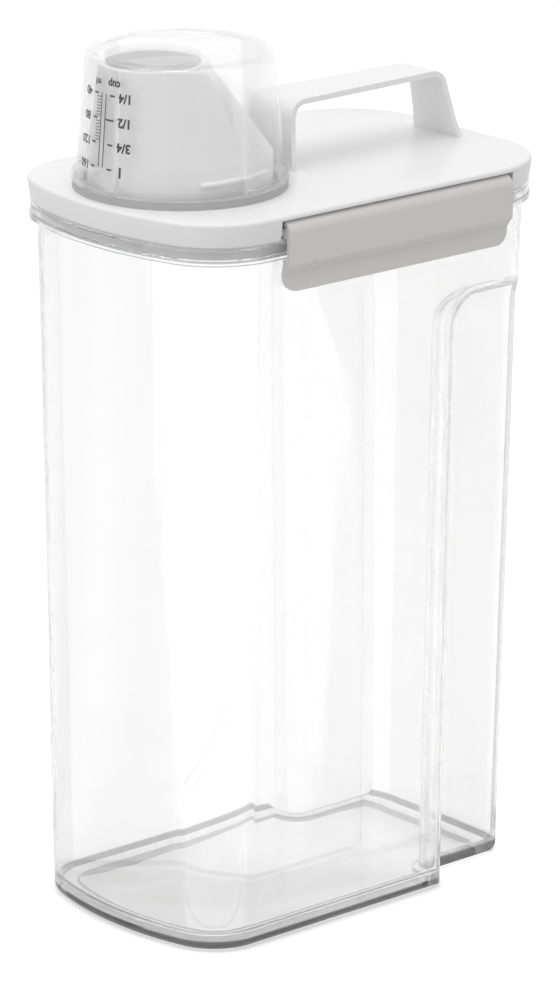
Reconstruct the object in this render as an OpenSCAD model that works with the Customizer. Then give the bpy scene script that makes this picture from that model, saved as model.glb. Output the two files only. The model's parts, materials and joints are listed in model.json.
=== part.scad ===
// Laundry detergent dispenser: a clear container with two grip recesses, a white lid with a strap
// handle and a pouring spout, two side latches, a lid gasket, and a clear measuring cup that screws
// over the spout. The spout points to -X, the handle lies along X, and the base stands on z = 0.

/* [Container] */
// Length of the base, front to rear
base_len = 175.4; // [160:0.2:190]
// Width of the base, side to side
base_w = 109.2; // [100:0.2:120]
// Corner radius at the rear of the base
rear_r = 28; // [20:0.5:34]
// Corner radius at the front of the base
front_r = 23.7; // [16:0.1:30]
// Radius of the bowed front face
front_bow_r = 136; // [100:1:200]
// Outward lean of the walls, in degrees
wall_lean = 0.96; // [0.5:0.02:1.5]
// Wall thickness
wall = 2.6; // [1.8:0.1:3.4]
// Height of the container at its rim
body_h = 283.4; // [240:0.2:320]
// Thickness of the floor above the foot
floor_t = 3; // [2:0.1:5]
// Radius where the floor meets the walls, inside
floor_r = 4; // [2:0.1:6]
// Radius of the rounded bottom edge
foot_r = 3.5; // [1:0.1:4]
// Width of the foot rim that the container stands on
foot_w = 5; // [3:0.1:7]
// Depth of the hollow inside the foot rim
foot_depth = 2; // [1:0.1:3]

/* [Rim] */
// How far the rim stands out from the wall
rim_out = 3; // [2:0.1:4]
// Height of the rim's lower bead
low_bead_h = 2.6; // [1.6:0.1:4]
// Height of the rim's upper bead
top_bead_h = 3; // [1.6:0.1:4]
// Height of the groove between the beads
bead_gap = 0.4; // [0.2:0.1:1]
// How far the groove and the upper bead stand back
bead_step = 0.4; // [0.2:0.1:1]

/* [Grip recesses] */
// Distance of the recess step from the rear of the base
grip_len = 45.6; // [38:0.2:60]
// Depth of the recess in the side wall
grip_depth = 16.7; // [16:0.1:20]
// Distance of the top of the recess below the container's rim
grip_drop = 39.4; // [36:0.2:80]
// Radius of the arched corner of the recess
grip_arch_r = 11.5; // [11:0.5:24]
// Radius where the step meets the recess wall
grip_fillet = 5.5; // [2:0.5:8]
// Radius where the top of the recess meets the recess wall
grip_scoop_r = 10.4; // [8:0.1:10.8]
// Radius of the outer edge round the recess
grip_edge_r = 5.4; // [3.4:0.1:5.6]

/* [Lid] */
// How far the lid's top edge stands out past the rim
lid_out = 0.6; // [0.2:0.1:1.5]
// Inward slope of the lid's side, from top to bottom
lid_taper = 1; // [0.2:0.1:1.5]
// Height of the lid's side
lid_h = 9.4; // [8:0.1:12]
// Slit between the container's rim and the lid, filled by the gasket
lid_slit = 1.4; // [1:0.1:2.4]
// Thickness of the lid's top plate
plate_t = 1.9; // [1.5:0.1:2.4]
// Radius of the lid's top edge
lid_edge_r = 1.5; // [0.8:0.1:4]
// Depth of the plug skirt below the lid's side
skirt_h = 7.4; // [7:0.1:12]
// Thickness of the plug skirt
skirt_t = 2.7; // [2:0.1:3.5]
// Room round the plug skirt for the gasket
skirt_gap = 1; // [0.8:0.1:1.6]

/* [Gaskets] */
// Thickness of the gasket's sealing lip
gasket_lip_t = 0.6; // [0.4:0.1:0.8]
// Depth of the gasket's sealing lip
gasket_lip_h = 6; // [3:0.5:8]
// How far the gasket stands back from the lid's lower edge
gasket_inset = 1.2; // [0.6:0.1:2.5]
// Clearance between the gasket and the container's rim
gasket_clear = 0.2; // [0.1:0.05:0.4]
// Height of the soft ring under the cup
cup_seal_h = 3.2; // [2:0.1:5]
// Width of the soft ring under the cup
cup_seal_w = 4; // [2:0.1:5.5]

/* [Handle] */
// Distance of the front post's outer face from the cup's axis
handle_gap = 45.7; // [42.5:0.1:52]
// Distance of the rear post's foot from the rear of the base
handle_inset = 2.7; // [0:0.1:12]
// Lean of the rear post towards the front, over its height
post_lean = 6; // [0:0.5:12]
// Height of the handle above the lid
handle_h = 27.8; // [22:0.2:36]
// Thickness of the strap
strap_t = 2.2; // [1.8:0.1:5]
// Width of the strap at its front end
strap_w_front = 24.6; // [18:0.2:30]
// Width of the strap at its rear end
strap_w_rear = 18; // [12:0.2:26]
// Width of the posts where they meet the lid
post_foot_w = 26; // [20:0.2:32]
// Height of the flare at the foot of the posts
post_flare_h = 9; // [4:0.5:14]
// Outer radius of the handle's corners
handle_r = 7; // [5:0.5:10]

/* [Spout] */
// Distance of the cup's axis from the front of the base
cup_inset = 37.2; // [36:0.1:45]
// Height of the neck above the lid
neck_h = 13.5; // [10:0.5:16]
// Wall thickness of the neck and the spout
spout_t = 2.2; // [1.6:0.1:3]
// Outer radius of the spout's mouth
mouth_r = 20.6; // [14:0.2:21]
// Gap between the spout's mouth and the side of the cup
mouth_side_gap = 0.8; // [0.6:0.1:6]
// Gap between the spout's mouth and the closed end of the cup
mouth_top_gap = 2.05; // [0.8:0.05:8]
// How far the thread lugs stand out of the neck
lug_out = 1.6; // [1:0.1:1.8]
// Room between the thread lugs and the cup's wall
lug_clear = 1.5; // [1.2:0.1:3]
// Height of a thread lug
lug_h = 1.8; // [1.2:0.1:2.5]
// Distance of a lug's low end below the top of the neck
lug_drop = 4; // [3.6:0.1:6]
// Number of thread lugs
lug_count = 3; // [2:1:3]
// Angle that each lug runs round the neck
lug_sweep = 50; // [30:5:100]
// Rise of a lug over its length
lug_rise = 1.4; // [0:0.1:2]

/* [Measuring cup] */
// Outer radius of the cup's wall at its flange
cup_r_low = 40.4; // [39.6:0.1:41]
// Outer radius of the cup's wall at its closed end
cup_r_high = 36.5; // [36:0.1:38]
// Height of the cup, from its flange to its closed end
cup_h = 50.5; // [47:0.1:60]
// Wall thickness of the cup
cup_wall = 1.7; // [1.2:0.1:2]
// Radius of the cup's flange
cup_flange_r = 41.8; // [41.2:0.1:42]
// Height of the cup's flange
cup_flange_h = 2.4; // [1.5:0.1:4]
// Radius of the edge at the closed end
cup_edge_r = 4; // [1.8:0.1:5]
// Clearance between the cup and the soft ring under it
cup_clear = 0.2; // [0.1:0.05:0.5]

/* [Latches] */
// Length of a latch
latch_len = 115; // [90:0.5:118]
// Place of the latch's middle, along X
latch_x = 6.3; // [0:0.1:6.6]
// Radius of the latch's rounded top about its pivot
latch_r = 5; // [4.6:0.1:5.2]
// Wall thickness of a latch
latch_t = 1.8; // [1.4:0.1:2]
// Height from the latch's pivot down to its groove
groove_drop = 16.2; // [14.5:0.1:18]
// Height of the straight part of the latch below its pivot
latch_flat = 12; // [11:0.1:13]
// Height of the finger lip below the groove
lip_h = 6.9; // [4:0.1:9]
// How far the groove stands back from the latch's face
groove_in = 3.2; // [2.4:0.1:3.2]
// How far the finger lip flares out again
lip_flare = 0.6; // [0:0.1:1.5]
// Corner radius of the finger lip, seen from the side
latch_corner_r = 6; // [3:0.5:8]
// Reach of the hook below the container's rim
hook_reach = 2.3; // [1.5:0.1:2.4]
// Clearance between the hook and the rim
hook_clear = 0.4; // [0.3:0.05:0.6]
// Radius of the hinge pins
pin_r = 1.3; // [1:0.05:1.4]
// Clearance round the hinge pins, on the radius
pin_clear = 0.05; // [0.03:0.01:0.1]
// Length of a hinge pin inside the lid
pin_reach = 2.2; // [1.6:0.1:2.4]
// Radius of the boss round a hinge pin
boss_r = 1.95; // [1.7:0.05:1.95]
// Distance of the pivot from the edge of the lid
pivot_in = 3.3; // [3.1:0.1:3.5]
// Thickness of the ribs inside a latch
rib_t = 2; // [1.2:0.1:3]
// Number of ribs inside a latch
rib_count = 4; // [2:1:6]
// Gap between a latch's end and the lid
latch_gap = 2.2; // [1.5:0.1:2.6]
// Clearance between a latch and the roof of its notch
notch_clear = 0.4; // [0.3:0.05:0.6]

/* [Hidden] */

EPS = 0.01;
// Overrun of a cutter past the face that it opens
CUT = 2;
// Segments of a corner arc, and of the bowed front
CORNER_SEGMENTS = 20;
BOW_SEGMENTS = 20;
// Segments of a rounded edge
EDGE_SEGMENTS = 4;
// Segments of the curves round a grip recess
ARCH_SEGMENTS = 10;
SCOOP_SEGMENTS = 8;
// Roundness of whole circles, and of circles under a hull
$fn = 96;
HULL_FN = 32;
LUG_SEGMENTS = 12;
LUG_SINK = 0.6;
// The first lug starts at this angle about the neck
LUG_START = -118;

CLEAR_PLASTIC = [0.88, 0.90, 0.91, 0.45];
WHITE = [0.93, 0.93, 0.92];
LATCH_WHITE = [0.80, 0.80, 0.79];
GASKET_GREY = [0.32, 0.33, 0.34];

// Outline of the container at any level: half sizes, and the centres of its arcs
half_len = base_len / 2;
half_w = base_w / 2;
bow_x = front_bow_r - half_len;
front_corner_x = bow_x - sqrt(pow(front_bow_r - front_r, 2) - pow(half_w - front_r, 2));
bow_angle = atan2(half_w - front_r, bow_x - front_corner_x);

function lean_at(z) = z * tan(wall_lean);

// Places along X
grip_x = half_len - grip_len;
cup_x = cup_inset - half_len;
handle_front = cup_x + handle_gap;
handle_rear = half_len - handle_inset;

// Heights
rim_bottom = body_h - top_bead_h - bead_gap - low_bead_h;
floor_z = foot_depth + floor_t;
grip_top = body_h - grip_drop;
lid_z = body_h + lid_slit;
lid_top = lid_z + lid_h;
skirt_bottom = lid_z - skirt_h;
seal_top = lid_top + cup_seal_h;
cup_z = seal_top + cup_clear;

// The neck, its lugs and the mouth fit inside the cup
neck_r = cup_r_low - cup_wall - lug_clear - lug_out;
mouth_h = cup_z + cup_h - cup_wall - mouth_top_gap - lid_top;
mouth_shift = cup_r_high - cup_wall - mouth_side_gap - mouth_r;

// Distances from the base outline, level by level
rim_off = lean_at(body_h) + rim_out;
lid_off = rim_off + lid_out;
lid_low_off = lid_off - lid_taper;
inner_off = lean_at(skirt_bottom) - wall;
skirt_off = inner_off - skirt_gap;
hollow_off = skirt_off - skirt_t;

// The pivots of the latches
pivot_y = half_w + lid_off - pivot_in;
pivot_z = lid_top - plate_t - notch_clear - latch_r;
latch_front = latch_x - latch_len / 2;
latch_rear = latch_x + latch_len / 2;
hook_z = rim_bottom - hook_clear - pivot_z;
// The latch's top ends this far round from the inward side, so that it clears the notch when it opens
LATCH_TOP_ANGLE = 110;

// Points of an arc, from angle a to angle b
function arc(cx, cy, r, a, b, n) =
    [for (i = [0 : n]) [cx + r * cos(a + (b - a) * i / n), cy + r * sin(a + (b - a) * i / n)]];

// The container's plan, grown outward by off
function plan(off) = concat(
    arc(half_len - rear_r, half_w - rear_r, rear_r + off, 0, 90, CORNER_SEGMENTS),
    arc(front_corner_x, half_w - front_r, front_r + off, 90, 180 - bow_angle, CORNER_SEGMENTS),
    [for (i = [1 : BOW_SEGMENTS - 1])
        let (a = 180 - bow_angle + 2 * bow_angle * i / BOW_SEGMENTS)
        [bow_x + (front_bow_r + off) * cos(a), (front_bow_r + off) * sin(a)]],
    arc(front_corner_x, front_r - half_w, front_r + off, 180 + bow_angle, 270, CORNER_SEGMENTS),
    arc(half_len - rear_r, rear_r - half_w, rear_r + off, 270, 360, CORNER_SEGMENTS)
);

// A solid through closed rings of points, each with as many points as the others
module loft(rings) {
    n = len(rings[0]);
    count = len(rings);
    points = [for (ring = rings) for (p = ring) p];
    sides = [for (k = [0 : count - 2]) for (i = [0 : n - 1])
        [k * n + i, (k + 1) * n + i, (k + 1) * n + (i + 1) % n, k * n + (i + 1) % n]];
    low = [for (i = [0 : n - 1]) i];
    high = [for (i = [n - 1 : -1 : 0]) (count - 1) * n + i];
    polyhedron(points = points, faces = concat([low], sides, [high]), convexity = 4);
}

// A solid through plans of different size: each level is [height, distance from the base outline]
module skin(levels) {
    loft([for (level = levels) [for (p = plan(level[1])) [p[0], p[1], level[0]]]]);
}

// Levels of a rounded lower edge that starts at height z and reaches distance off
function low_edge(z, off, r) = [for (i = [0 : EDGE_SEGMENTS])
    let (a = 90 * i / EDGE_SEGMENTS) [z + r * (1 - cos(a)), off - r * (1 - sin(a))]];

// Levels of a rounded upper edge that ends at height z
function top_edge(z, off, r) = [for (i = [0 : EDGE_SEGMENTS])
    let (a = 90 * i / EDGE_SEGMENTS) [z - r * (1 - sin(a)), off - r * (1 - cos(a))]];

// A quarter plane x > 0, y < 0 with its corner rounded
module round_corner(length, depth, r) {
    union() {
        translate([r, -depth]) square([length - r, depth]);
        translate([0, -depth]) square([r, depth - r]);
        translate([r, -r]) circle(r = r);
    }
}

// How far a recess edge lies outward of its nominal place, at depth d from the recess wall: it is
// hollowed with radius r at the wall and rounded with grip_edge_r at the side, and grown by grow
function recess_edge(d, r, grow) =
    let (edge_d = d - grip_depth + grip_edge_r, edge_r = grip_edge_r - grow)
    d < r ? sqrt(pow(r + grow, 2) - pow(r - d, 2)) - r
    : edge_d < 0 ? grow
    : grip_edge_r - sqrt(max(0, pow(edge_r, 2) - pow(edge_d, 2)));

// Outline of a recess at depth d from its wall: its front edge, its arched corner and its top
function recess_ring(d, grow) =
    let (
        front = recess_edge(d, grip_fillet, grow),
        top = recess_edge(d, grip_scoop_r, grow),
        rear = half_len + lean_at(body_h) + 4 * CUT
    )
    concat(
        [[grip_x - front, -d, -4 * CUT], [rear, -d, -4 * CUT], [rear, -d, grip_top + top]],
        [for (i = [0 : ARCH_SEGMENTS])
            let (a = 90 + 90 * i / ARCH_SEGMENTS)
            [
                grip_x + grip_arch_r + (grip_arch_r + front) * cos(a),
                -d,
                grip_top - grip_arch_r + (grip_arch_r + top) * sin(a),
            ]]
    );

// The two grip recesses as solids, grown by grow
module grips(grow) {
    edge_r = grip_edge_r - grow;
    depths = concat(
        [for (i = [0 : SCOOP_SEGMENTS])
            grip_scoop_r - (grip_scoop_r + grow) * cos(90 * i / SCOOP_SEGMENTS)],
        [for (i = [0 : EDGE_SEGMENTS])
            grip_depth - grip_edge_r + edge_r * sin(90 * i / EDGE_SEGMENTS)],
        [grip_depth + 4 * CUT]
    );
    for (side = [0, 1])
        mirror([0, side, 0])
            translate([0, grip_depth - half_w, 0])
                rotate([wall_lean, 0, 0])
                    loft([for (d = depths) recess_ring(d, grow)]);
}

// Two beads with bevelled edges run round the mouth of the container
module rim() {
    bevel = bead_step;
    top_off = rim_off - bead_step;
    low_top = rim_bottom + low_bead_h;
    top_low = low_top + bead_gap;
    skin([
        [rim_bottom, rim_off - bevel],
        [rim_bottom + bevel, rim_off],
        [low_top - bevel, rim_off],
        [low_top, top_off - bevel],
        [top_low, top_off - bevel],
        [top_low + bevel, top_off],
        [body_h - bevel, top_off],
        [body_h, top_off - bevel],
    ]);
}

module container() {
    color(CLEAR_PLASTIC)
        difference() {
            union() {
                difference() {
                    skin(concat(low_edge(0, lean_at(foot_r), foot_r), [[body_h, lean_at(body_h)]]));
                    grips(0);
                }
                rim();
            }
            // the inside, which follows the recesses
            difference() {
                skin(concat(
                    low_edge(floor_z, lean_at(floor_z) - wall, floor_r),
                    [[body_h + CUT, lean_at(body_h + CUT) - wall]]
                ));
                grips(wall);
            }
            // the hollow under the foot
            difference() {
                skin([[-CUT, -foot_r - foot_w], [foot_depth, -foot_r - foot_w - foot_depth]]);
                for (side = [0, 1])
                    mirror([0, side, 0])
                        translate([grip_x - foot_w, grip_depth + foot_w - half_w, -2 * CUT])
                            linear_extrude(foot_depth + 3 * CUT)
                                round_corner(half_len, half_w, grip_fillet + foot_w);
            }
        }
}

// Half section of the latch: u is the distance outward from the pivot, v the height above it
module latch_section() {
    groove_u = latch_r - groove_in;
    lip_u = groove_u + lip_flare;
    lip_v = -groove_drop - lip_h;
    inner_r = latch_r - latch_t;
    hook_tip = inner_r - hook_reach;
    polygon(concat(
        arc(0, 0, latch_r, 180 - LATCH_TOP_ANGLE, 0, EDGE_SEGMENTS * 2),
        [
            [latch_r, -latch_flat],
            [groove_u, -groove_drop],
            [lip_u, lip_v],
            [lip_u - latch_t, lip_v],
            [groove_u - latch_t, -groove_drop],
            [hook_tip, hook_z - hook_clear - latch_t],
            [hook_tip, hook_z - hook_clear],
            [inner_r, hook_z],
        ],
        arc(0, 0, inner_r, 0, 180 - LATCH_TOP_ANGLE, EDGE_SEGMENTS * 2)
    ));
}

// The ribs join the pivot line to the shell
module rib_section() {
    difference() {
        union() {
            circle(r = boss_r);
            translate([0, -boss_r]) square([latch_r - latch_t / 2, 2 * boss_r]);
        }
        difference() {
            circle(r = 2 * latch_r);
            circle(r = latch_r - EPS);
        }
    }
}

// The latch stands upright with its pivot on the X axis and its face towards -Y
module latch_body() {
    lip_v = -groove_drop - lip_h;
    intersection() {
        union() {
            rotate([90, 0, -90])
                linear_extrude(latch_len, center = true) latch_section();
            for (i = [0 : rib_count - 1])
                translate([(i / (rib_count - 1) - 0.5) * (latch_len - rib_t), 0, 0])
                    rotate([90, 0, -90])
                        linear_extrude(rib_t, center = true) rib_section();
        }
        // the rounded lower corners, seen from the side
        rotate([90, 0, 0])
            linear_extrude(4 * latch_r, center = true)
                union() {
                    translate([-latch_len / 2, lip_v + latch_corner_r])
                        square([latch_len, 2 * latch_r - lip_v]);
                    translate([latch_corner_r - latch_len / 2, lip_v])
                        square([latch_len - 2 * latch_corner_r, 2 * latch_corner_r]);
                    for (side = [-1, 1])
                        translate([side * (latch_len / 2 - latch_corner_r), lip_v + latch_corner_r])
                            circle(r = latch_corner_r);
                }
    }
}

module latch() {
    color(LATCH_WHITE)
        translate([latch_x, -pivot_y, pivot_z])
            union() {
                latch_body();
                rotate([0, 90, 0])
                    cylinder(r = pin_r, h = latch_len + 2 * (latch_gap + pin_reach), center = true);
            }
}

// Room for a latch in the side of the lid, with a bore for each end of its pin
module latch_notch() {
    depth_in = latch_r * sin(LATCH_TOP_ANGLE) + notch_clear;
    bore_len = latch_len + 2 * (latch_gap + pin_reach + notch_clear);
    translate([latch_front - latch_gap, -pivot_y - 4 * latch_r, lid_z - CUT])
        cube([latch_len + 2 * latch_gap, 4 * latch_r + depth_in, lid_h - plate_t + CUT]);
    translate([latch_x, -pivot_y, pivot_z])
        rotate([0, 90, 0])
            cylinder(r = pin_r + pin_clear, h = bore_len, center = true);
}

// One thread lug: a bevelled ridge that rises as it runs round the neck
module lug() {
    out_r = neck_r + lug_out;
    root_r = neck_r - LUG_SINK;
    low_end = neck_h - lug_drop - lug_h;
    bevel = lug_out / 2;
    ring = [for (i = [0 : LUG_SEGMENTS])
        let (a = lug_sweep * i / LUG_SEGMENTS, z = low_end + lug_rise * i / LUG_SEGMENTS)
        for (p = [[root_r, -bevel], [out_r, 0], [out_r, lug_h - bevel], [root_r, lug_h]])
            [p[0] * cos(a), p[0] * sin(a), z + p[1]]];
    sides = [for (i = [0 : LUG_SEGMENTS - 1]) for (j = [0 : 3])
        for (t = [
            [4 * i + j, 4 * i + (j + 1) % 4, 4 * i + 4 + j],
            [4 * i + (j + 1) % 4, 4 * i + 4 + (j + 1) % 4, 4 * i + 4 + j],
        ]) t];
    last = 4 * LUG_SEGMENTS;
    polyhedron(
        points = ring,
        faces = concat([[3, 2, 1, 0]], sides, [[last, last + 1, last + 2, last + 3]]),
        convexity = 4
    );
}

// The oblique spout narrows from the neck to a mouth near the front
module spout_cone(shrink, stretch) {
    hull() {
        translate([0, 0, neck_h - stretch])
            cylinder(r = neck_r - shrink, h = EPS);
        translate([-mouth_shift, 0, mouth_h - EPS + stretch])
            cylinder(r = mouth_r - shrink, h = EPS);
    }
}

module spout() {
    translate([cup_x, 0, lid_top]) {
        translate([0, 0, -plate_t]) cylinder(r = neck_r, h = plate_t + neck_h);
        spout_cone(0, 0);
        for (i = [0 : lug_count - 1])
            rotate([0, 0, LUG_START + 360 * i / lug_count]) lug();
    }
}

module spout_bore() {
    translate([cup_x, 0, lid_top]) {
        translate([0, 0, -plate_t - CUT])
            cylinder(r = neck_r - spout_t, h = plate_t + neck_h + CUT);
        spout_cone(spout_t, EPS);
    }
}

// Side view of the handle, filled or hollow: inset moves its outline inward
module handle_side(inset) {
    r = handle_r - inset;
    post_top = handle_h - handle_r;
    hull() {
        translate([handle_front + handle_r, post_top]) circle(r = r, $fn = HULL_FN);
        translate([handle_rear - post_lean - handle_r, post_top]) circle(r = r, $fn = HULL_FN);
        translate([handle_front + inset, -CUT]) square([1, 1]);
        translate([handle_rear - inset - 1, -CUT]) square([1, 1]);
    }
}

// The handle's width: it narrows to the rear, and its posts flare at their feet
module handle_width() {
    x0 = handle_front - CUT;
    x1 = handle_rear + CUT;
    levels = [
        [-CUT, post_foot_w / 2, post_foot_w / 2],
        [0, post_foot_w / 2, post_foot_w / 2],
        [post_flare_h, strap_w_front / 2, (strap_w_rear + post_foot_w) / 4],
        [handle_h + CUT, strap_w_front / 2, strap_w_rear / 2],
    ];
    points = [for (l = levels)
        for (p = [[x0, -l[1]], [x1, -l[2]], [x1, l[2]], [x0, l[1]]]) [p[0], p[1], l[0]]];
    sides = [for (k = [0 : 2]) for (j = [0 : 3])
        for (t = [
            [4 * k + j, 4 * k + 4 + j, 4 * k + (j + 1) % 4],
            [4 * k + (j + 1) % 4, 4 * k + 4 + j, 4 * k + 4 + (j + 1) % 4],
        ]) t];
    polyhedron(points = points, faces = concat([[0, 1, 2, 3]], sides, [[15, 14, 13, 12]]), convexity = 2);
}

module handle() {
    translate([0, 0, lid_top - EPS])
        intersection() {
            rotate([90, 0, 0])
                linear_extrude(2 * post_foot_w, center = true)
                    difference() {
                        handle_side(0);
                        handle_side(strap_t);
                    }
            handle_width();
            translate([handle_front - CUT, -post_foot_w, -EPS])
                cube([handle_rear - handle_front + 2 * CUT, 2 * post_foot_w, handle_h + CUT]);
        }
}

module lid() {
    color(WHITE)
        difference() {
            union() {
                skin(concat(
                    [[lid_z, lid_low_off]],
                    top_edge(lid_top, lid_off, lid_edge_r)
                ));
                skin([[skirt_bottom, skirt_off], [lid_z + EPS, skirt_off]]);
                spout();
                handle();
            }
            skin([[skirt_bottom - CUT, hollow_off], [lid_top - plate_t, hollow_off]]);
            spout_bore();
            for (side = [0, 1])
                mirror([0, side, 0]) latch_notch();
        }
}

module lid_gasket() {
    flange_z = body_h + gasket_clear;
    lip_off = skirt_off + gasket_lip_t;
    color(GASKET_GREY)
        difference() {
            union() {
                skin([[flange_z, lid_low_off - gasket_inset], [lid_z, lid_low_off - gasket_inset]]);
                skin([[flange_z - gasket_lip_h, lip_off], [flange_z + EPS, lip_off]]);
            }
            skin([[flange_z - gasket_lip_h - CUT, skirt_off], [lid_z + CUT, skirt_off]]);
        }
}

module cup_seal() {
    outer_r = cup_flange_r - 2 * cup_clear;
    color(GASKET_GREY)
        translate([cup_x, 0, lid_top])
            difference() {
                cylinder(r = outer_r, h = cup_seal_h);
                translate([0, 0, -CUT]) cylinder(r = outer_r - cup_seal_w, h = cup_seal_h + 2 * CUT);
            }
}

// The cup stands on its open end, with its closed end up
module measuring_cup() {
    slope = (cup_r_low - cup_r_high) / cup_h;
    edge_z = cup_h - cup_edge_r;
    edge_x = cup_r_high - (1 - slope) * cup_edge_r;
    color(CLEAR_PLASTIC)
        translate([cup_x, 0, cup_z])
            rotate_extrude()
                difference() {
                    union() {
                        square([cup_flange_r, cup_flange_h]);
                        polygon([
                            [0, 0],
                            [cup_r_low, 0],
                            [edge_x + cup_edge_r, edge_z],
                            [edge_x, edge_z],
                            [edge_x, cup_h],
                            [0, cup_h],
                        ]);
                        intersection() {
                            translate([edge_x, edge_z]) circle(r = cup_edge_r);
                            translate([edge_x, edge_z]) square(2 * cup_edge_r);
                        }
                    }
                    polygon(concat(
                        [[-CUT, -CUT], [cup_r_low - cup_wall + slope * CUT, -CUT]],
                        arc(edge_x, edge_z, cup_edge_r - cup_wall, 0, 90, 2 * EDGE_SEGMENTS),
                        [[-CUT, cup_h - cup_wall]]
                    ));
                    translate([-2 * CUT, -CUT]) square([2 * CUT, cup_h + 2 * CUT]);
                }
}

module left_latch() {
    latch();
}

module right_latch() {
    mirror([0, 1, 0]) latch();
}

container();
lid();
lid_gasket();
cup_seal();
measuring_cup();
left_latch();
right_latch();
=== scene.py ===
import json
import math

import bmesh
import bpy
from mathutils import Matrix, Vector


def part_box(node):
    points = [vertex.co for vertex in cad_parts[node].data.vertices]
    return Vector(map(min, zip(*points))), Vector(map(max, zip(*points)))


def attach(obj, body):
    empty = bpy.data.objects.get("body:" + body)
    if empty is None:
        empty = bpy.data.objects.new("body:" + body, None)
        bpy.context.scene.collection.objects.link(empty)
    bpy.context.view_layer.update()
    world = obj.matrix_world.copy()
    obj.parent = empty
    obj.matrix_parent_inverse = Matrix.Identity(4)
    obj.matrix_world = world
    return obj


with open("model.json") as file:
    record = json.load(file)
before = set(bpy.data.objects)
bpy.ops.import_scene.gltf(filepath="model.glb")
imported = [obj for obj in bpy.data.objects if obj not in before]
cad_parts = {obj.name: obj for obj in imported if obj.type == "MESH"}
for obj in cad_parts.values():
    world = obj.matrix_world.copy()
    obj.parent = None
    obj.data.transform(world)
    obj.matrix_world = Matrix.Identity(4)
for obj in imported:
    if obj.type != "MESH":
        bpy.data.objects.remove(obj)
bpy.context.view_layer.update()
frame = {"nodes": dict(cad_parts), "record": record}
NODES = frame["nodes"]

# All lengths are in metres and all angles in degrees, unless a name says otherwise.

# Camera: the photograph's viewing angle and its place
CAMERA_AZIMUTH = -41.26
CAMERA_ELEVATION = 17.30
CAMERA_ROLL = 0.24
CAMERA_DISTANCE = 2.2157
CAMERA_TARGET = Vector((0.00095, 0.0, 0.1573))
LENS_MM = 201.6
SENSOR_MM = 36.0

# Corners of a CAD mesh closer than this are one, and edges that turn by more than this stay sharp
JOIN_DISTANCE = 0.000002
SMOOTH_DEGREES = 30.0

# Opaque plastic: its mottling of tone and roughness, and the depth of its grain
MOTTLE_SCALE = 22.0
MOTTLE_DARKEST = 0.985
MOTTLE_ROUGHNESS = (0.92, 1.08)
GRAIN_SCALE = 2600.0
GRAIN_DEPTH = 0.00002

# Clear plastic: its refraction, and its variation of tint and roughness
CLEAR_IOR = 1.49
CLEAR_VARIATION_SCALE = 9.0
CLEAR_DARKEST = 0.99
CLEAR_ROUGHNESS = (0.8, 1.2)

# Painted shade: the container's rounded lower edge is coloured darker. The painted shade starts at this
# height and is full at this share of it. It is left out where a normal's upright part is the first value
# or more, as on the flat foot, and full where that part is the second value or less.
FOOT_SHADE_TOP = 0.0046
FOOT_SHADE_FULL = 0.8
FOOT_FLAT_NORMAL = 0.995
FOOT_ROUND_NORMAL = 0.97

# The printed scale: its drawing is rolled out at this radius, and the ink stands this proud of the wall
SCALE_RADIUS = 0.0384
INK_PROUD = 0.00004
# The outer radius of the cup's wall at the cup's lowest and highest points, as it stands on its mouth
CUP_WALL_LOW = 0.0404
CUP_WALL_HIGH = 0.0365
# The two upright rules, round the cup's axis, and their ends
RULES = (-181.5, -178.0)
RULE_BOTTOM = 0.3074
RULE_TOP = 0.3355
RULE_WIDTH = 0.00052
# The main marks, from the top down: the first lies this far below the rules' top
TOP_MARK_DROP = 0.0003
MARK_WIDTH = 0.0007
LEFT_MARK = (-188.6, -185.0)
LEFT_LABEL = -195.4
LEFT_LABEL_HEIGHT = 0.0031
RIGHT_MARK_END = -171.0
RIGHT_LABEL_DROP = 0.0002
# Each main mark: millilitres, part of a cup, start of the right-hand mark, that label's place and height
MARKS = (
    ("40", "1/4", -174.8, -163.4, 0.0034),
    ("80", "1/2", -177.4, -163.4, 0.0034),
    ("120", "3/4", -174.8, -163.4, 0.0034),
    ("160", "1", -174.8, -165.2, 0.0038),
)
# The fine marks: so many steps between two main marks, down to the third main mark
FINE_STEPS = 8
FINE_MARK = (-185.8, -182.2)
FINE_WIDTH = 0.00034
# The words over the scale: text, place, height above the base, height of the letters
WORDS = (
    ("ml", -185.6, 0.3395, 0.0025),
    ("cup", -172.0, 0.3397, 0.003),
)
# A bar is made of pieces about this long. A figure's height as a share of the font's size, and the
# thickening of its strokes as a share of that height.
BAR_PIECE = 0.002
FIGURE_SHARE = 0.7
STROKE_SHARE = 0.055

# The plain level of light that the surround gives the object
WORLD_LIGHT = 0.68
# How bright the surround shows in gloss, at each compass bearing
IN_GLOSS = (
    (-180.0, 0.75),
    (-150.0, 0.85),
    (-131.0, 0.6),
    (-100.0, 1.0),
    (-75.0, 0.8),
    (-50.0, 1.0),
    (-28.0, 0.8),
    (-8.0, 1.0),
    (10.0, 0.8),
    (22.0, 1.0),
    (76.0, 1.0),
    (90.0, 0.65),
    (104.0, 0.95),
    (118.0, 0.55),
    (136.0, 0.85),
    (158.0, 0.5),
    (180.0, 0.75),
)
# How bright it shows through clear plastic, at each compass bearing
IN_CLEAR = (
    (-180.0, 0.8),
    (-131.0, 0.8),
    (-60.0, 0.85),
    (-20.0, 1.0),
    (118.0, 1.0),
    (158.0, 0.85),
    (180.0, 0.8),
)

# The floor, just under the foot. Its colour, which takes the shadow, and its glow each have four
# levels: for plain light on the object, to the camera, in gloss and through clear plastic.
FLOOR_SIZE = 12.0
FLOOR_HEIGHT = -0.0004
FLOOR_ROUGHNESS = 0.9
FLOOR_SPECULAR = 0.1
FLOOR_LIT = (0.6, 0.92, 0.85, 0.2)
FLOOR_GLOW = (0.0, 0.35, 0.3, 0.95)

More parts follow.
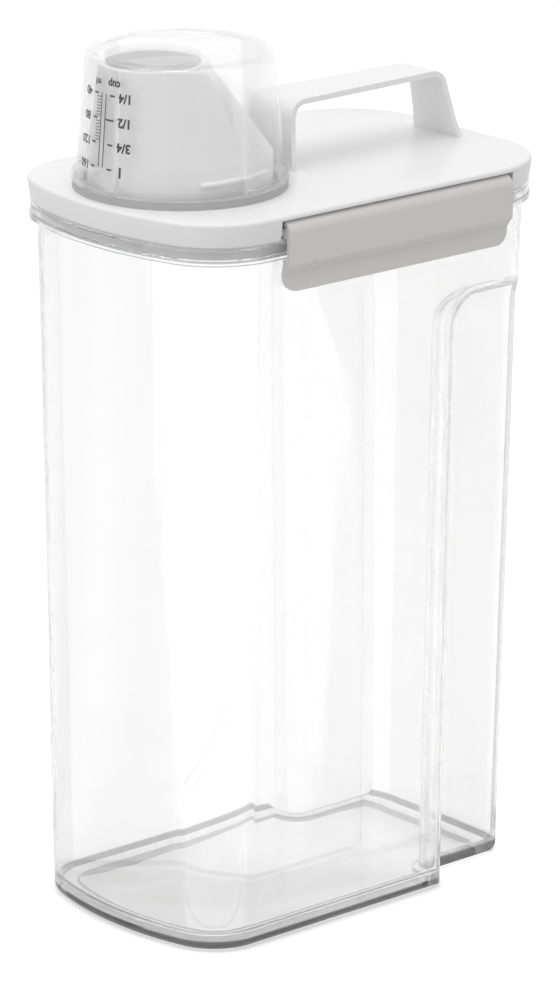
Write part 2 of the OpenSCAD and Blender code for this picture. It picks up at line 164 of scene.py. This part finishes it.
# Area lamps: name, place, target, width and height, power in watts
LAMPS = (
    ("top_lamp", (-0.3, -0.1, 2.0), (0.0, 0.0, 0.2), (2.2, 2.2), 14.5),
    ("side_lamp", (-1.7, 0.2, 1.1), (0.0, 0.0, 0.25), (1.2, 1.2), 4.0),
)


def make_camera():
    azimuth = math.radians(CAMERA_AZIMUTH)
    elevation = math.radians(CAMERA_ELEVATION)
    roll = math.radians(CAMERA_ROLL)
    back = Vector((
        math.sin(azimuth) * math.cos(elevation),
        -math.cos(azimuth) * math.cos(elevation),
        math.sin(elevation),
    ))
    right = Vector((math.cos(azimuth), math.sin(azimuth), 0.0))
    up = back.cross(right)
    x_axis = right * math.cos(roll) + up * math.sin(roll)
    y_axis = up * math.cos(roll) - right * math.sin(roll)
    place = CAMERA_TARGET + back * CAMERA_DISTANCE
    data = bpy.data.cameras.new("camera")
    data.lens = LENS_MM
    data.sensor_width = SENSOR_MM
    data.clip_start = 0.05
    data.clip_end = 50.0
    camera = bpy.data.objects.new("camera", data)
    bpy.context.scene.collection.objects.link(camera)
    turn = Matrix((x_axis, y_axis, back)).transposed()
    camera.matrix_world = Matrix.Translation(place) @ turn.to_4x4()
    bpy.context.scene.camera = camera


def node_material(name):
    material = bpy.data.materials.new(name)
    material.use_nodes = True
    tree = material.node_tree
    return material, tree, tree.nodes["Principled BSDF"], tree.nodes["Material Output"]


def join_math(tree, operation, first, second):
    """A value worked out from a socket and from a second socket or number."""
    node = tree.nodes.new("ShaderNodeMath")
    node.operation = operation
    tree.links.new(first, node.inputs[0])
    if isinstance(second, float):
        node.inputs[1].default_value = second
    else:
        tree.links.new(second, node.inputs[1])
    return node.outputs["Value"]


def mix_value(tree, factor, first, second, kind="RGBA"):
    """What goes from first to second with factor: a colour, or with kind VALUE a number.

    Each of the two is a number or a socket.
    """
    mix = tree.nodes.new("ShaderNodeMix")
    mix.data_type = "RGBA" if kind == "RGBA" else "FLOAT"
    tree.links.new(factor, mix.inputs["Factor"])
    for name, value in (("A", first), ("B", second)):
        socket = [s for s in mix.inputs if s.name == name and s.type == kind][0]
        if not isinstance(value, float):
            tree.links.new(value, socket)
        elif kind == "RGBA":
            socket.default_value = (value, value, value, 1.0)
        else:
            socket.default_value = value
    return [s for s in mix.outputs if s.type == kind][0]


def noise_texture(tree, coordinates, scale, detail):
    noise = tree.nodes.new("ShaderNodeTexNoise")
    noise.inputs["Scale"].default_value = scale
    noise.inputs["Detail"].default_value = detail
    tree.links.new(coordinates.outputs["Object"], noise.inputs["Vector"])
    return noise.outputs["Fac"]


def varied_tone(tree, noise, colour, darkest):
    """A colour that the noise darkens down to the share darkest."""
    ramp = tree.nodes.new("ShaderNodeValToRGB")
    ramp.color_ramp.elements[0].color = [c * darkest for c in colour] + [1.0]
    ramp.color_ramp.elements[1].color = list(colour) + [1.0]
    tree.links.new(noise, ramp.inputs["Fac"])
    return ramp.outputs["Color"]


def vary_roughness(tree, shader, noise, roughness, shares):
    """Lets the noise move the roughness between two shares of it."""
    spread = tree.nodes.new("ShaderNodeMapRange")
    spread.inputs["To Min"].default_value = roughness * shares[0]
    spread.inputs["To Max"].default_value = roughness * shares[1]
    tree.links.new(noise, spread.inputs["Value"])
    tree.links.new(spread.outputs["Result"], shader.inputs["Roughness"])


def smooth_step(tree, value, start, end):
    """0 up to start and 1 from end on, with a soft step between them; end may be the lower one."""
    step = tree.nodes.new("ShaderNodeMapRange")
    step.interpolation_type = "SMOOTHSTEP"
    step.inputs["From Min"].default_value = start
    step.inputs["From Max"].default_value = end
    tree.links.new(value, step.inputs["Value"])
    return step.outputs["Result"]


def height_part(tree, vector):
    parts = tree.nodes.new("ShaderNodeSeparateXYZ")
    tree.links.new(vector, parts.inputs["Vector"])
    return parts.outputs["Z"]


def moulded_plastic(name, colour, roughness, bump):
    """Opaque moulded plastic with faint mottling of tone and a fine moulded grain."""
    material, tree, shader, _ = node_material(name)
    coordinates = tree.nodes.new("ShaderNodeTexCoord")
    mottle = noise_texture(tree, coordinates, MOTTLE_SCALE, 3.0)
    tree.links.new(varied_tone(tree, mottle, colour, MOTTLE_DARKEST), shader.inputs["Base Color"])
    vary_roughness(tree, shader, mottle, roughness, MOTTLE_ROUGHNESS)
    relief = tree.nodes.new("ShaderNodeBump")
    relief.inputs["Strength"].default_value = bump
    relief.inputs["Distance"].default_value = GRAIN_DEPTH
    tree.links.new(noise_texture(tree, coordinates, GRAIN_SCALE, 2.0), relief.inputs["Height"])
    tree.links.new(relief.outputs["Normal"], shader.inputs["Normal"])
    return material


def painted_foot_shade(tree, coordinates):
    """Mask for painted shade: 1 on the rounded lower edge of the wall, where the foot shows dark, and 0
    elsewhere.
    """
    height = height_part(tree, coordinates.outputs["Object"])
    low = smooth_step(tree, height, FOOT_SHADE_TOP, FOOT_SHADE_TOP * FOOT_SHADE_FULL)
    upright = join_math(tree, "ABSOLUTE", height_part(tree, coordinates.outputs["Normal"]), 0.0)
    rounded = smooth_step(tree, upright, FOOT_FLAT_NORMAL, FOOT_ROUND_NORMAL)
    return join_math(tree, "MULTIPLY", low, rounded)


def clear_plastic(name, tint, through, share, roughness, foot_shade_tone=None):
    """Clear moulded plastic: part of it bends what lies behind, and share of it only tints that.

    It lets the lamps' light straight through, so what it holds stays lit. With a foot tone given, the
    rounded lower edge gets painted shade in that darker tone.
    """
    material, tree, shader, output = node_material(name)
    shader.inputs["Transmission Weight"].default_value = 1.0
    shader.inputs["IOR"].default_value = CLEAR_IOR
    coordinates = tree.nodes.new("ShaderNodeTexCoord")
    noise = noise_texture(tree, coordinates, CLEAR_VARIATION_SCALE, 2.0)
    colour = varied_tone(tree, noise, tint, CLEAR_DARKEST)
    clear = tree.nodes.new("ShaderNodeBsdfTransparent")
    clear.inputs["Color"].default_value = (through, through, through, 1.0)
    if foot_shade_tone is not None:
        # Painted shade: the rounded lower edge is darkened, both where it bends light and where light
        # goes straight through
        shade = painted_foot_shade(tree, coordinates)
        colour = mix_value(tree, shade, colour, foot_shade_tone)
        tree.links.new(mix_value(tree, shade, through, foot_shade_tone), clear.inputs["Color"])
    tree.links.new(colour, shader.inputs["Base Color"])
    vary_roughness(tree, shader, noise, roughness, CLEAR_ROUGHNESS)
    path = tree.nodes.new("ShaderNodeLightPath")
    straight = join_math(tree, "MAXIMUM", path.outputs["Is Shadow Ray"], path.outputs["Is Diffuse Ray"])
    mix = tree.nodes.new("ShaderNodeMixShader")
    tree.links.new(join_math(tree, "MAXIMUM", straight, share), mix.inputs["Fac"])
    tree.links.new(shader.outputs["BSDF"], mix.inputs[1])
    tree.links.new(clear.outputs["BSDF"], mix.inputs[2])
    tree.links.new(mix.outputs["Shader"], output.inputs["Surface"])
    return material


def make_materials():
    clear = (
        # name, tint, tint of the share that goes straight through, that share, roughness, tone of the
        # foot's painted shade
        ("clear_body", (0.994, 0.994, 0.994), 0.984, 0.2, 0.004, 0.18),
        ("clear_cup", (0.998, 0.998, 0.998), 0.997, 0.6, 0.004, None),
    )
    opaque = (
        # name, colour, roughness, strength of the grain
        ("white_lid", (0.87, 0.87, 0.87), 0.3, 0.06),
        # Painted shade: the latches' white is darker than the lid's white, for their sides that face
        # away from the lamps
        ("latch_white", (0.715, 0.705, 0.7), 0.34, 0.06),
        ("gasket", (0.45, 0.45, 0.45), 0.5, 0.2),
        ("pale_gasket", (0.72, 0.72, 0.72), 0.5, 0.2),
        ("ink", (0.075, 0.075, 0.08), 0.45, 0.1),
    )
    made = {row[0]: clear_plastic(*row) for row in clear}
    made.update({row[0]: moulded_plastic(*row) for row in opaque})
    return made


def make_smoother():
    """Node group that joins a mesh's faces along their shared corners and shades it smooth."""
    group = bpy.data.node_groups.new("smoother", "GeometryNodeTree")
    group.interface.new_socket("Mesh", in_out="INPUT", socket_type="NodeSocketGeometry")
    group.interface.new_socket("Mesh", in_out="OUTPUT", socket_type="NodeSocketGeometry")
    start = group.nodes.new("NodeGroupInput")
    join = group.nodes.new("GeometryNodeMergeByDistance")
    join.inputs["Distance"].default_value = JOIN_DISTANCE
    group.links.new(start.outputs["Mesh"], join.inputs["Geometry"])
    turn = group.nodes.new("GeometryNodeInputMeshEdgeAngle")
    sharp = group.nodes.new("FunctionNodeCompare")
    sharp.data_type = "FLOAT"
    sharp.operation = "GREATER_THAN"
    sharp.inputs["B"].default_value = math.radians(SMOOTH_DEGREES)
    group.links.new(turn.outputs["Unsigned Angle"], sharp.inputs["A"])
    normal = group.nodes.new("GeometryNodeSetMeshNormal")
    normal.mode = "SHARPNESS"
    normal.inputs["Remove Custom"].default_value = True
    group.links.new(join.outputs["Geometry"], normal.inputs["Mesh"])
    group.links.new(sharp.outputs["Result"], normal.inputs["Edge Sharpness"])
    end = group.nodes.new("NodeGroupOutput")
    group.links.new(normal.outputs["Mesh"], end.inputs["Mesh"])
    return group


def dress_cad_nodes(materials):
    """Gives each CAD node its material and smooth shading. The lid's gasket is paler than its slot."""
    slots = {s["node"]: s["material_slot"] for s in frame["record"]["subparts"]}
    smoother = make_smoother()
    for name, piece in NODES.items():
        piece.data.materials.clear()
        piece.data.materials.append(materials["pale_gasket" if name == "lid_gasket" else slots[name]])
        piece.modifiers.new("smoother", "NODES").node_group = smoother


def add_bar(form, start, end, width):
    """Adds a thin bar to a mesh in short pieces, so that it bends with the wall."""
    (x0, y0), (x1, y1) = start, end
    length = math.hypot(x1 - x0, y1 - y0)
    across = (-(y1 - y0) / length * width / 2, (x1 - x0) / length * width / 2)
    edges = (
        ((x0 + across[0], y0 + across[1]), (x1 + across[0], y1 + across[1])),
        ((x0 - across[0], y0 - across[1]), (x1 - across[0], y1 - across[1])),
    )
    count = max(1, round(length / BAR_PIECE))
    rows = []
    for i in range(count + 1):
        t = i / count
        rows.append([
            form.verts.new((near[0] * (1 - t) + far[0] * t, near[1] * (1 - t) + far[1] * t, 0.0))
            for near, far in edges
        ])
    for low, high in zip(rows, rows[1:]):
        form.faces.new((low[0], low[1], high[1], high[0]))


def add_label(form, text, middle, height):
    """Adds a printed label, turned over as it is on a cup that stands on its mouth."""
    curve = bpy.data.curves.new("label", "FONT")
    curve.body = text
    curve.size = height / FIGURE_SHARE
    curve.align_x = "CENTER"
    curve.align_y = "CENTER"
    curve.resolution_u = 3
    curve.offset = height * STROKE_SHARE
    label = bpy.data.objects.new("label", curve)
    bpy.context.scene.collection.objects.link(label)
    shape = bpy.data.meshes.new_from_object(label.evaluated_get(bpy.context.evaluated_depsgraph_get()))
    shape.transform(Matrix.Translation((middle[0], middle[1], 0.0)) @ Matrix.Rotation(math.pi, 4, "Z"))
    form.from_mesh(shape)
    bpy.data.objects.remove(label)
    bpy.data.curves.remove(curve)
    bpy.data.meshes.remove(shape)


def on_scale(degrees, height):
    """A point of the rolled-out drawing, from its place round the cup's axis and its height."""
    return (math.radians(degrees + 180.0) * SCALE_RADIUS, height)


def draw_cup_scale(form):
    """Draws the scale flat: millilitres on the left rule, parts of a cup on the right."""

    def level_bar(ends, height, width):
        add_bar(form, on_scale(ends[0], height), on_scale(ends[1], height), width)

    for rule in RULES:
        add_bar(form, on_scale(rule, RULE_BOTTOM), on_scale(rule, RULE_TOP), RULE_WIDTH)
    step = (RULE_TOP - RULE_BOTTOM) / (len(MARKS) - 1)
    first = RULE_TOP - TOP_MARK_DROP
    for i, (millilitres, part, right_start, right_place, right_height) in enumerate(MARKS):
        height = first - step * i
        level_bar(LEFT_MARK, height, MARK_WIDTH)
        add_label(form, millilitres, on_scale(LEFT_LABEL, height), LEFT_LABEL_HEIGHT)
        level_bar((right_start, RIGHT_MARK_END), height, MARK_WIDTH)
        add_label(form, part, on_scale(right_place, height - RIGHT_LABEL_DROP), right_height)
    for i in range(1, 2 * FINE_STEPS):
        if i % FINE_STEPS:
            level_bar(FINE_MARK, first - step * i / FINE_STEPS, FINE_WIDTH)
    for text, degrees, height, letters in WORDS:
        add_label(form, text, on_scale(degrees, height), letters)


def make_cup_scale(material):
    """The measuring scale printed on the cup: a flat drawing that is bent onto the tapered wall."""
    low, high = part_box("measuring_cup")
    axis_x = (low[0] + high[0]) / 2
    rise = high[2] - low[2]
    form = bmesh.new()
    draw_cup_scale(form)
    for corner in form.verts:
        turn = corner.co.x / SCALE_RADIUS - math.pi
        z = corner.co.y
        radius = CUP_WALL_LOW + (CUP_WALL_HIGH - CUP_WALL_LOW) * (z - low[2]) / rise + INK_PROUD
        corner.co = (axis_x + radius * math.cos(turn), radius * math.sin(turn), z)
    mesh = bpy.data.meshes.new("cup_scale")
    form.to_mesh(mesh)
    form.free()
    piece = bpy.data.objects.new("cup_scale", mesh)
    bpy.context.scene.collection.objects.link(piece)
    mesh.materials.append(material)
    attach(piece, "cup")


def bearing(tree, direction):
    """The compass bearing of a direction, from 0 at -180 degrees to 1 at 180."""
    parts = tree.nodes.new("ShaderNodeSeparateXYZ")
    tree.links.new(direction, parts.inputs["Vector"])
    angle = join_math(tree, "ARCTAN2", parts.outputs["Y"], parts.outputs["X"])
    share = tree.nodes.new("ShaderNodeMapRange")
    share.inputs["From Min"].default_value = -math.pi
    share.inputs["From Max"].default_value = math.pi
    tree.links.new(angle, share.inputs["Value"])
    return share.outputs["Result"]


def level_ramp(tree, position, table):
    """The level that a table of bearings and levels gives at a position from 0 to 1."""
    ramp = tree.nodes.new("ShaderNodeValToRGB")
    ramp.color_ramp.interpolation = "EASE"
    stops = [((degrees + 180.0) / 360.0, level) for degrees, level in table]
    while len(ramp.color_ramp.elements) < len(stops):
        ramp.color_ramp.elements.new(0.5)
    for element, (place, level) in zip(ramp.color_ramp.elements, stops):
        element.position = place
        element.color = (level, level, level, 1.0)
    tree.links.new(position, ramp.inputs["Fac"])
    return ramp.outputs["Color"]


def surround_level(tree, direction, plain):
    """How bright the surround shows: in gloss, through clear plastic, and else at the plain level.

    It is white with soft grey strips between, as panels round a photographer's table are.
    """
    position = bearing(tree, direction)
    path = tree.nodes.new("ShaderNodeLightPath")
    level = mix_value(tree, path.outputs["Is Glossy Ray"], plain, level_ramp(tree, position, IN_GLOSS))
    clear = level_ramp(tree, position, IN_CLEAR)
    return mix_value(tree, path.outputs["Is Transmission Ray"], level, clear), path


def by_ray(tree, path, table):
    """A number for each kind of ray: plain, to the camera, in gloss, or through clear plastic."""
    value = table[0]
    for kind, other in zip(("Is Camera Ray", "Is Glossy Ray", "Is Transmission Ray"), table[1:]):
        value = mix_value(tree, path.outputs[kind], value, other, "VALUE")
    return value


def make_floor():
    """A pale floor that keeps the object's shadow."""
    bpy.ops.mesh.primitive_plane_add(size=FLOOR_SIZE, location=(0.0, 0.0, FLOOR_HEIGHT))
    floor = bpy.context.object
    floor.name = "floor"
    material, tree, shader, output = node_material("floor")
    shader.inputs["Roughness"].default_value = FLOOR_ROUGHNESS
    shader.inputs["Specular IOR Level"].default_value = FLOOR_SPECULAR
    floor.data.materials.append(material)
    coordinates = tree.nodes.new("ShaderNodeTexCoord")
    colour, path = surround_level(tree, coordinates.outputs["Object"], 1.0)
    base = tree.nodes.new("ShaderNodeVectorMath")
    base.operation = "SCALE"
    tree.links.new(colour, base.inputs[0])
    tree.links.new(by_ray(tree, path, FLOOR_LIT), base.inputs["Scale"])
    tree.links.new(base.outputs["Vector"], shader.inputs["Base Color"])
    glow = tree.nodes.new("ShaderNodeEmission")
    tree.links.new(colour, glow.inputs["Color"])
    tree.links.new(by_ray(tree, path, FLOOR_GLOW), glow.inputs["Strength"])
    both = tree.nodes.new("ShaderNodeAddShader")
    tree.links.new(shader.outputs["BSDF"], both.inputs[0])
    tree.links.new(glow.outputs["Emission"], both.inputs[1])
    tree.links.new(both.outputs["Shader"], output.inputs["Surface"])


def make_world():
    """A pale surround: white to the camera, and a plain level of light for the object."""
    world = bpy.data.worlds.new("world")
    bpy.context.scene.world = world
    world.use_nodes = True
    tree = world.node_tree
    background = tree.nodes["Background"]
    coordinates = tree.nodes.new("ShaderNodeTexCoord")
    light, path = surround_level(tree, coordinates.outputs["Generated"], WORLD_LIGHT)
    seen = mix_value(tree, path.outputs["Is Camera Ray"], light, 1.0)
    tree.links.new(seen, background.inputs["Color"])
    background.inputs["Strength"].default_value = 1.0


def area_lamp(name, place, target, size, power):
    data = bpy.data.lights.new(name, "AREA")
    data.shape = "RECTANGLE"
    data.size, data.size_y = size
    data.energy = power
    lamp = bpy.data.objects.new(name, data)
    bpy.context.scene.collection.objects.link(lamp)
    lamp.location = place
    lamp.rotation_mode = "QUATERNION"
    lamp.rotation_quaternion = (Vector(target) - Vector(place)).to_track_quat("-Z", "Y")


make_camera()
materials = make_materials()
dress_cad_nodes(materials)
make_cup_scale(materials["ink"])
make_floor()
make_world()
for lamp_row in LAMPS:
    area_lamp(*lamp_row)
bpy.context.scene.view_settings.view_transform = "Standard"
